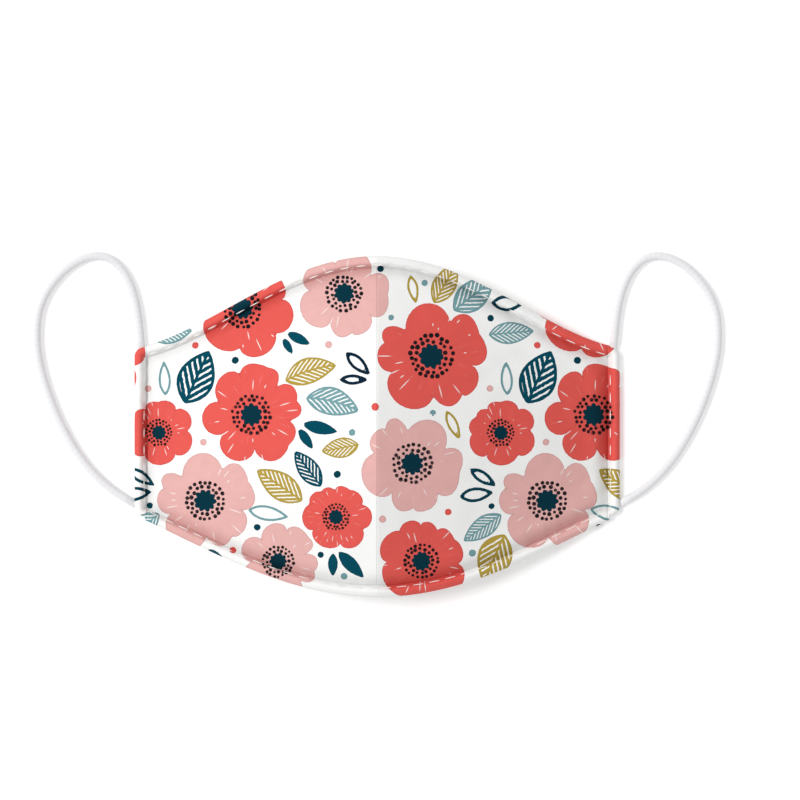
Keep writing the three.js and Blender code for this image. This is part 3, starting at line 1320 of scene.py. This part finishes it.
@dataclass
class Panel:
    """One half of the mask's cloth, from the centre ridge to the hems."""

    form: MaskForm
    name: str
    side: int
    columns: int = 136
    rows: int = 172
    ridge_gap: float = 0.0
    hem_gap: float = 0.0

    def grid(self) -> tuple[np.ndarray, np.ndarray]:
        """X and Y of the panel's points, a row for each step away from the ridge.

        Returns:
            The two grids.
        """
        form = self.form
        outer_x = form.hem_inner_x - self.hem_gap
        x = self.side * (self.ridge_gap + (outer_x - self.ridge_gap) * eased(self.columns, 0.45))
        low = form.chin.inside(x, form.hem_width + self.hem_gap)
        high = form.nose.inside(x, form.hem_width + self.hem_gap)
        share = eased(self.rows, 0.45)
        y = low[:, None] + (high - low)[:, None] * share[None, :]
        return np.repeat(x[:, None], self.rows, 1), y

    def build(self, chart: PrintChart, cotton: Material, lining: Material) -> Piece:
        """Makes the panel as a closed wall of cloth, prints it and puts it in the frame.

        Args:
            chart: The print.
            cotton: The outer finish.
            lining: The inner finish.

        Returns:
            The piece.
        """
        x, y = self.grid()
        outer = np.stack([x, y, self.form.face(x, y)], -1).reshape(-1, 3)
        inner = np.stack([x, y, self.form.underside(x, y)], -1).reshape(-1, 3)
        count = len(outer)
        faces = grid_faces(self.columns, self.rows)
        rim = np.concatenate([
            np.arange(self.rows),
            np.arange(2 * self.rows - 1, count, self.rows),
            np.arange(count - 2, count - self.rows - 1, -1),
            np.arange(count - 2 * self.rows, 0, -self.rows),
        ])
        after = np.roll(rim, -1)
        wall = np.stack([rim, after, after + count, rim + count], 1)
        every = np.vstack([faces, faces[:, ::-1] + count, wall])
        if self.side == LEFT:
            every = every[:, ::-1]
        points = np.vstack([outer, inner])
        piece = mesh_object(f"printed_panel_{self.name}", points, every)
        piece.data.materials.append(cotton)
        piece.data.materials.append(lining)
        slots = np.zeros(len(every), np.int32)
        slots[len(faces) : 2 * len(faces)] = 1
        piece.data.polygons.foreach_set("material_index", slots)
        cloth = points[:, :2]
        to_hem, _ = self.form.to_hem(x, y)
        # Painted shade: the colour darkens towards the hem's groove, where its shadow falls; none on the
        # lining.
        painted_hem_shade = np.exp(-((np.maximum(to_hem, 0) / self.form.groove_reach) ** 1.5)).ravel()
        store_cloth(piece, cloth, np.concatenate([painted_hem_shade, 0 * painted_hem_shade]))
        self.unwrap(piece, points, len(faces))
        chart.lay_on(piece, cloth)
        place_in_frame(piece, "printed_cotton", f"panel_{self.name}")
        return piece

    def declare(self, piece: Piece) -> None:
        """Does nothing: its body is empty.

        Args:
            piece: The panel. Not used.
        """

    def unwrap(self, piece: Piece, points: np.ndarray, count: int) -> None:
        """Lays the panel out in plan for baking: the face large, the lining and the wall beside it.

        Args:
            piece: The panel.
            points: Its vertices, the outer ones and then the inner ones.
            count: How many faces the outer side has, and the inner side too.
        """
        mesh = piece.data
        corner_vertex = corner_vertices(mesh)
        low, size = points[:, :2].min(0), np.ptp(points[:, :2], axis=0)
        share = (points[corner_vertex][:, :2] - low) / size
        tall = 0.98
        wide = tall * size[0] / size[1]
        start = wide + 0.03
        uv = 0.01 + share * [wide, tall]
        sheet = 4 * count
        small = 0.98 - start
        uv[sheet : 2 * sheet] = share[sheet : 2 * sheet] * [small, small * size[1] / size[0]] + [start, 0.01]
        rim = np.arange(len(mesh.polygons) - 2 * count)
        corner = corner_vertex[2 * sheet :].reshape(-1, 4)
        lower = corner >= len(points) // 2
        ahead = np.tile([0, 1, 1, 0], (len(rim), 1))
        round_it = (rim[:, None] + ahead) / len(rim)
        strip = np.stack([start + small * round_it, 0.8 + 0.05 * lower], -1)
        uv[2 * sheet :] = strip.reshape(-1, 2)
        layer = mesh.uv_layers.new(name="OFBake")
        layer.data.foreach_set("uv", uv.astype(np.float32).ravel())


@dataclass
class HemSection:
    """The rolled hem in section: how far in from the edge and how high above the underside."""

    outline: tuple[tuple[float, float], ...] = (
        (0.00, 1.30),
        (0.25, 2.60),
        (1.00, 3.70),
        (2.10, 4.05),
        (3.10, 3.60),
        (3.85, 2.60),
        (4.40, 1.50),
        (4.80, 0.75),
        (5.00, 0.35),
        (4.70, 0.10),
        (2.50, 0.00),
        (0.90, 0.15),
        (0.20, 0.60),
    )
    stitch_across: float = 3.9
    stitch_height: float = 2.5
    ease: float = 0.3
    steps: int = 3
    face_height: float = 1.0
    stitch_dip: float = 0.28
    stitch_reach: float = 1.1
    crest_across: float = 1.8
    crest_reach: float = 1.2
    crest_lift: float = 0.10
    # How far the painted shade reaches from the groove, and how far and how strongly it reaches in from the
    # outer rim.
    seam_reach: float = 1.5
    rim_reach: float = 0.5
    rim_share: float = 0.5
    thread_sink: float = 0.1
    thread_lean: float = 1.6

    def ring(self) -> np.ndarray:
        """The whole section as a smooth closed line."""
        return smooth_line(np.array(self.outline), self.steps, closed=True)

    def cloth_out(self, width: float) -> np.ndarray:
        """How far out from the groove each point of the ring lies in the print.

        Args:
            width: The hem's width in plan.

        Returns:
            One distance for each point of the ring. It keeps close to the width seen from above,
            eased towards the true length round the roll, and goes on round the underside.
        """
        ring = self.ring()
        groove, edge = ring[:, 0].argmax(), ring[:, 0].argmin()
        order = np.roll(ring, -groove, axis=0)[::-1]
        along = np.roll(lengths_along(order)[::-1], groove)
        round_it = along * width / along[edge]
        seen = np.where(round_it < width, width - ring[:, 0], round_it)
        return seen + self.ease * (round_it - seen)

    def painted_hem_shade(self, across: np.ndarray) -> np.ndarray:
        """How much painted shade a distance in from the edge takes: 0 far off, 1 at the seam's groove, half
        at the outer rim, where the roll's shadow falls.

        Args:
            across: The distances.

        Returns:
            The painted shade's weight at each.
        """
        groove = max(place for place, _ in self.outline)
        at_seam = np.exp(-(((across - groove) / self.seam_reach) ** 2))
        return at_seam + self.rim_share * np.exp(-((across / self.rim_reach) ** 2))


@dataclass
class Hem:
    """One length of the turned hem, swept along an outer and an inner line in plan."""

    form: MaskForm
    name: str
    outer: np.ndarray
    inner: np.ndarray
    section: HemSection = field(default_factory=HemSection)

    def points(self) -> tuple[np.ndarray, np.ndarray]:
        """The hem's points ring by ring, and each one's place in the print.

        Returns:
            The two grids of points.
        """
        form, section = self.form, self.section
        ring = section.ring()
        across, height = ring[:, 0], ring[:, 1]
        along = lengths_along(self.outer)
        beat = 0.5 + 0.5 * np.cos(2 * math.pi * (along - along[-1] / 2) / form.stitch_pitch)
        slow = 0.5 + 0.5 * np.sin(2 * math.pi * along / 23.0 + 1.3 * np.sin(along / 9.0))
        near_stitch = np.exp(-(((across - section.stitch_across) / section.stitch_reach) ** 2))
        crest = np.exp(-(((across - section.crest_across) / section.crest_reach) ** 2))
        dip = section.stitch_dip * near_stitch * (height > section.face_height)
        swell = section.crest_lift * crest * (height > section.face_height)
        lift = height[None] - beat[:, None] * dip + slow[:, None] * swell
        inward = (self.inner - self.outer) / form.hem_width
        plan = self.outer[:, None] + inward[:, None] * across[None, :, None]
        x, y = plan[..., 0], plan[..., 1]
        steep = form.steepness(*(0.5 * (self.inner + self.outer)).T)
        z = form.underside(x, y) + lift * steep[:, None]
        onward = section.cloth_out(form.hem_width)
        cloth = self.inner[:, None] - inward[:, None] * onward[None, :, None]
        return np.stack([x, y, z], -1), cloth

    def build(self, chart: PrintChart, cotton: Material) -> None:
        """Makes the hem as a closed roll, prints it and puts it in the frame.

        Args:
            chart: The print.
            cotton: The finish.
        """
        points, cloth = self.points()
        piece = tube_object(f"rolled_{self.name}", points)
        piece.data.materials.append(cotton)
        on_cloth = cloth.reshape(-1, 2)
        # Painted shade along the groove and the outer rim, where the roll's shadow falls.
        painted_hem_shade = np.tile(self.section.painted_hem_shade(self.section.ring()[:, 0]), len(points))
        store_cloth(piece, on_cloth, painted_hem_shade)
        chart.lay_on(piece, on_cloth)
        place_in_frame(piece, "hem_cotton", self.name)

    def stitch_line(self) -> tuple[np.ndarray, np.ndarray]:
        """The topstitching's line on the hem's face, and which way is up out of the cloth.

        Returns:
            The line's points, and a unit vector at each.
        """
        form = self.form
        inward = (self.inner - self.outer) / form.hem_width
        plan = self.outer + inward * self.section.stitch_across
        x, y = plan.T
        steep = form.steepness(x, y)
        z = form.underside(x, y) + (self.section.stitch_height - self.section.thread_sink) * steep
        line = np.column_stack([x, y, z])
        lean = np.column_stack([inward, np.full(len(line), self.section.thread_lean)])
        return line, lean / np.linalg.norm(lean, axis=1, keepdims=True)


@dataclass
class HemSet:
    """The four lengths of hem, which meet just inside the mask's corners."""

    form: MaskForm
    step: float = 0.8

    def long_hem(self, name: str, edge: LongEdge) -> Hem:
        """The hem along the whole nose or chin edge.

        Args:
            name: The hem's name.
            edge: The edge.

        Returns:
            The hem.
        """
        reach = self.form.hem_inner_x
        x = np.linspace(-reach, reach, 2 * int(reach / self.step) + 1)
        outer = np.column_stack([x, edge.y(x)])
        inner = np.column_stack([x, edge.inside(x, self.form.hem_width)])
        return Hem(self.form, name, outer, inner)

    def side_hem(self, name: str, side: int) -> Hem:
        """A straight side hem with the round corner at each of its ends.

        Args:
            name: The hem's name.
            side: LEFT or RIGHT.

        Returns:
            The hem.
        """
        form = self.form
        chin_outer, chin_inner = self.corner(form.chin, -1)
        nose_outer, nose_inner = self.corner(form.nose, 1)
        y = np.arange(chin_outer[-1, 1], nose_outer[0, 1], self.step)[1:]
        straight_outer = np.column_stack([np.full_like(y, form.half_width), y])
        low, high = chin_inner[-1, 1], nose_inner[0, 1]
        inner_y = np.interp(y, [chin_outer[-1, 1], nose_outer[0, 1]], [low, high])
        straight_inner = np.column_stack([np.full_like(y, form.hem_inner_x), inner_y])
        outer = np.vstack([chin_outer, straight_outer, nose_outer])
        inner = np.vstack([chin_inner, straight_inner, nose_inner])
        return Hem(form, name, outer * [side, 1], inner * [side, 1])

    def corner(self, edge: LongEdge, way: int) -> tuple[np.ndarray, np.ndarray]:
        """A corner's outer and inner lines, from the chin end of the mask to the nose end.

        Args:
            edge: The nose or chin edge.
            way: 1 at the nose, -1 at the chin.

        Returns:
            The two lines' points.
        """
        form, r = self.form, self.form.corner_radius
        turn = np.linspace(0, math.pi / 2, 12)
        middle = np.array([form.half_width - r, edge.corner_y - way * r])
        arc = middle + r * np.column_stack([np.cos(turn), way * np.sin(turn)])
        start_x = np.linspace(form.half_width - r, form.hem_inner_x, 3)[1:]
        lead = np.column_stack([start_x, edge.y(start_x)])
        outer = np.vstack([arc, lead])
        corner_y = edge.inside(np.array([form.hem_inner_x]), form.hem_width)[0]
        tiny = 0.02 * np.arange(len(outer))[::-1, None]
        inner = np.array([form.hem_inner_x, corner_y]) - way * np.hstack([0 * tiny, tiny])
        return (outer, inner) if way > 0 else (outer[::-1], inner[::-1])

    def build(self, chart: PrintChart, cotton: Material) -> list[Hem]:
        """Makes all four hems.

        Args:
            chart: The print.
            cotton: The finish.

        Returns:
            The hems.
        """
        hems = [
            self.long_hem("hem_nose", self.form.nose),
            self.long_hem("hem_chin", self.form.chin),
            *(self.side_hem(f"hem_{name}", side) for name, side in SIDES.items()),
        ]
        for hem in hems:
            hem.build(chart, cotton)
        return hems


@dataclass
class Topstitching:
    """A row of white lockstitches along each hem, each a short arched length of thread."""

    pitch: float
    stitch: float = 4.3
    thread: float = 0.5
    arch: float = 0.22
    dip: float = 0.25
    end_clearance: float = 3.0

    def tree(self) -> Tree:
        """Builds the node tree that sets a stitch at every pitch along a line.

        Returns:
            The tree.
        """
        tree = bpy.data.node_groups.new("topstitching", "GeometryNodeTree")
        face = tree.interface
        face.new_socket("Line", in_out="INPUT", socket_type="NodeSocketGeometry")
        for name in ("Pitch", "Stitch", "Thread", "Arch", "Dip"):
            face.new_socket(name, in_out="INPUT", socket_type="NodeSocketFloat")
        face.new_socket("Finish", in_out="INPUT", socket_type="NodeSocketMaterial")
        face.new_socket("Stitches", in_out="OUTPUT", socket_type="NodeSocketGeometry")
        given = wire(tree, "NodeGroupInput").node.outputs
        line = wire(tree, "GeometryNodeMeshToCurve", given["Line"])
        pitch = {"Length": given["Pitch"]}
        beads = wire(tree, "GeometryNodeResampleCurve", line, mode="LENGTH", named=pitch)
        half = wire(tree, MATH, given["Stitch"], 0.5, operation="MULTIPLY")
        back = wire(tree, MATH, half, -1.0, operation="MULTIPLY")
        down = wire(tree, MATH, given["Dip"], -1.0, operation="MULTIPLY")
        ends = [wire(tree, COMBINE, along, 0.0, down) for along in (back, half)]
        top = wire(tree, COMBINE, 0.0, 0.0, given["Arch"])
        bow = wire(tree, "GeometryNodeCurveQuadraticBezier", 8, ends[0], top, ends[1])
        radius = wire(tree, MATH, given["Thread"], 0.5, operation="MULTIPLY")
        around = wire(tree, "GeometryNodeCurvePrimitiveCircle", named={"Resolution": 8, "Radius": radius})
        one = wire(tree, "GeometryNodeCurveToMesh", bow, around, named={"Fill Caps": True})
        tangent = wire(tree, "GeometryNodeInputTangent")
        up = wire(tree, "GeometryNodeInputNamedAttribute", "up", data_type="FLOAT_VECTOR")
        turned = wire(tree, "FunctionNodeAlignRotationToVector", None, 1.0, tangent, axis="X")
        turned = wire(tree, "FunctionNodeAlignRotationToVector", turned, 1.0, up, axis="Z", pivot_axis="X")
        row = wire(
            tree, "GeometryNodeInstanceOnPoints", beads, named={"Instance": one, "Rotation": turned}
        )
        real = wire(tree, "GeometryNodeRealizeInstances", row)
        smooth = wire(tree, "GeometryNodeSetShadeSmooth", real)
        dressed = wire(tree, "GeometryNodeSetMaterial", smooth, named={"Material": given["Finish"]})
        wire(tree, "NodeGroupOutput", dressed)
        return tree

    def build(self, hems: list[Hem], finish: Material) -> None:
        """Stitches every hem and puts the stitches in the frame.

        Args:
            hems: The hems.
            finish: The thread's finish.
        """
        tree = self.tree()
        sockets = {s.name: s.identifier for s in tree.interface.items_tree if s.in_out == "INPUT"}
        sizes = {"Pitch": self.pitch, "Stitch": self.stitch, "Thread": self.thread,
                 "Arch": self.arch, "Dip": self.dip}
        for hem in hems:
            line, up = hem.stitch_line()
            along = lengths_along(line)
            inside = (along > self.end_clearance) & (along < along[-1] - self.end_clearance)
            line, up = line[inside], up[inside]
            carrier = bpy.data.meshes.new("stitch line")
            edges = np.column_stack([np.arange(len(line) - 1), np.arange(1, len(line))])
            carrier.from_pydata((line * MM).tolist(), edges.tolist(), [])
            store(carrier, "up", up)
            row = bpy.data.objects.new("stitch line", carrier)
            bpy.context.scene.collection.objects.link(row)
            modifier = row.modifiers.new("topstitching", "NODES")
            modifier.node_group = tree
            for name, size in sizes.items():
                modifier[sockets[name]] = size * MM
            modifier[sockets["Finish"]] = finish
            made = bpy.data.meshes.new_from_object(row.evaluated_get(bpy.context.evaluated_depsgraph_get()))
            bpy.data.objects.remove(row)
            piece = bpy.data.objects.new(f"topstitching_{hem.name}", made)
            bpy.context.scene.collection.objects.link(piece)
            place_in_frame(piece, "hem_cotton")


@dataclass
class EarLoop:
    """A round elastic cord that lies in a loop beside the mask, sewn in at both corners."""

    name: str
    side: int
    diameter: float = 3.5
    step: float = 0.5
    around: int = 28
    braid_depth: float = 0.01
    braid_pitch: float = 2.6
    strands: int = 8
    tuck: float = 2.2

    # The centreline in plan, from the nose corner round to the chin corner.
    route: tuple[tuple[float, float], ...] = (
        (97.4, 33.2), (97.9, 39.0), (98.6, 45.2), (99.8, 51.8), (101.9, 58.6), (105.2, 64.6),
        (109.8, 68.8), (115.2, 70.3), (121.2, 69.1), (127.2, 65.7), (132.6, 60.5), (137.0, 54.0),
        (139.6, 46.8), (140.4, 39.0), (140.0, 30.8), (138.2, 22.0), (135.4, 13.0), (131.8, 4.0),
        (127.2, -5.0), (121.8, -13.4), (115.6, -20.6), (108.8, -26.4), (101.5, -31.0),
    )

    def centreline(self) -> np.ndarray:
        """The cord's line in the frame, a point every step.

        Returns:
            One row of x, y and z for each point.
        """
        plan = np.array(self.route)
        smooth = smooth_line(plan, 12)
        start, end = smooth[0] - smooth[1], smooth[-1] - smooth[-2]
        into = [p + self.tuck * d / np.linalg.norm(d) for p, d in ((smooth[0], start), (smooth[-1], end))]
        whole = even_line(np.vstack([into[0], smooth, into[1]]), self.step)
        height = np.full(len(whole), self.diameter / 2)
        return np.column_stack([self.side * whole[:, 0], whole[:, 1], height])

    def build(self, finish: Material) -> None:
        """Makes the cord as a braided tube and puts it in the frame.

        Args:
            finish: The elastic's finish.
        """
        line = self.centreline()
        along = lengths_along(line)
        ahead = np.gradient(line, axis=0)
        ahead /= np.linalg.norm(ahead, axis=1, keepdims=True)
        aside = np.column_stack([-ahead[:, 1], ahead[:, 0], np.zeros(len(line))])
        turn = np.linspace(0, 2 * math.pi, self.around, endpoint=False)
        twist = 2 * math.pi * along / (self.braid_pitch * self.strands / 2)
        one = np.cos(self.strands * (turn[None] + twist[:, None]))
        other = np.cos(self.strands * (turn[None] - twist[:, None]))
        weave = one * other
        to_end = np.minimum(along, along[-1] - along)
        pinch = np.clip(to_end / (2 * self.tuck), 0, 1) ** 0.7
        flat = 0.42 + 0.58 * pinch
        radius = self.diameter / 2 * (1 - self.braid_depth + self.braid_depth * weave)
        middle = line.copy()
        middle[:, 2] = self.diameter / 2 * flat
        points = (
            middle[:, None]
            + aside[:, None] * (radius * np.cos(turn))[..., None]
            + np.array([0, 0, 1.0]) * (radius * np.sin(turn) * flat[:, None])[..., None]
        )
        piece = tube_object(f"elastic_loop_{self.name}", points)
        run, arc = np.broadcast_arrays(along[:, None], turn * self.diameter / 2)
        store(piece.data, "braid", np.stack([run, arc, weave], -1))
        piece.data.materials.append(finish)
        place_in_frame(piece, "elastic_cord", f"ear_loop_{self.name}")


@dataclass
class Studio:
    """The camera straight above the mask, soft light that comes mostly from the left, and the floor."""

    picture_width: float = 329.9
    centre: tuple[float, float] = (9.4, 10.9)
    lens: float = 400.0
    sensor: float = 36.0
    key: float = 0.55
    key_height: float = 50.0
    key_turn: float = 166.0
    key_spread: float = 25.0
    fill: float = 0.61
    floor_reach: float = 6000.0

    def build(self) -> None:
        """Makes the camera, the lights, the surroundings and the floor."""
        scene = bpy.context.scene
        scene.view_settings.view_transform = "Standard"
        self.camera(scene)
        self.key_light(scene)
        world = bpy.data.worlds.new("pale surroundings")
        world.use_nodes = True
        background = world.node_tree.nodes["Background"]
        background.inputs["Color"].default_value = linear("#ffffff")
        background.inputs["Strength"].default_value = self.fill
        scene.world = world
        self.floor()

    def camera(self, scene: bpy.types.Scene) -> None:
        """Adds the camera, which looks straight down from far off with the nose edge at the top.

        Args:
            scene: The scene.
        """
        data = bpy.data.cameras.new("camera")
        data.lens = self.lens
        data.sensor_width = self.sensor
        distance = self.picture_width * self.lens / self.sensor
        data.clip_end = 3 * distance * MM
        camera = bpy.data.objects.new("camera", data)
        camera.location = (self.centre[0] * MM, self.centre[1] * MM, distance * MM)
        scene.collection.objects.link(camera)
        scene.camera = camera

    def key_light(self, scene: bpy.types.Scene) -> None:
        """Adds the key: a wide, soft source on the left, far enough off to light evenly.

        Args:
            scene: The scene.
        """
        data = bpy.data.lights.new("key", "SUN")
        data.energy = self.key * math.pi
        data.angle = math.radians(self.key_spread)
        light = bpy.data.objects.new("key", data)
        height, turn = math.radians(self.key_height), math.radians(self.key_turn)
        level = math.cos(height)
        towards = Vector((level * math.cos(turn), level * math.sin(turn), math.sin(height)))
        light.rotation_euler = (-towards).to_track_quat("-Z", "Y").to_euler()
        scene.collection.objects.link(light)

    def floor(self) -> None:
        """Adds the surface that the mask lies on."""
        half, level = self.floor_reach, -0.05
        plan = np.array([[-1, -1], [1, -1], [1, 1], [-1, 1]]) * half
        corners = np.column_stack([plan, np.full(len(plan), level)])
        surface = mesh_object("floor", corners, np.array([[0, 1, 2, 3]]))
        surface.data.materials.append(Backdrop().material())


def main() -> None:
    """Builds the scene: camera and cords first, then cloth, hems and stitches."""
    logging.basicConfig(level=logging.INFO, format="%(name)s: %(message)s")
    Studio().build()
    elastic = BraidedElastic().material()
    for name, side in SIDES.items():
        EarLoop(name, side).build(elastic)
    form = MaskForm.from_frame()
    chart = PrintChart()
    cotton, lining = PrintedCotton().material(), PlainCotton().material()
    panels = [Panel(form, name, side) for name, side in SIDES.items()]
    halves = [panel.build(chart, cotton, lining) for panel in panels]
    hems = HemSet(form).build(chart, cotton)
    Topstitching(form.stitch_pitch).build(hems, SewingThread().material())
    for panel, half in zip(panels, halves):
        panel.declare(half)


if __name__ == "__main__":
    main()
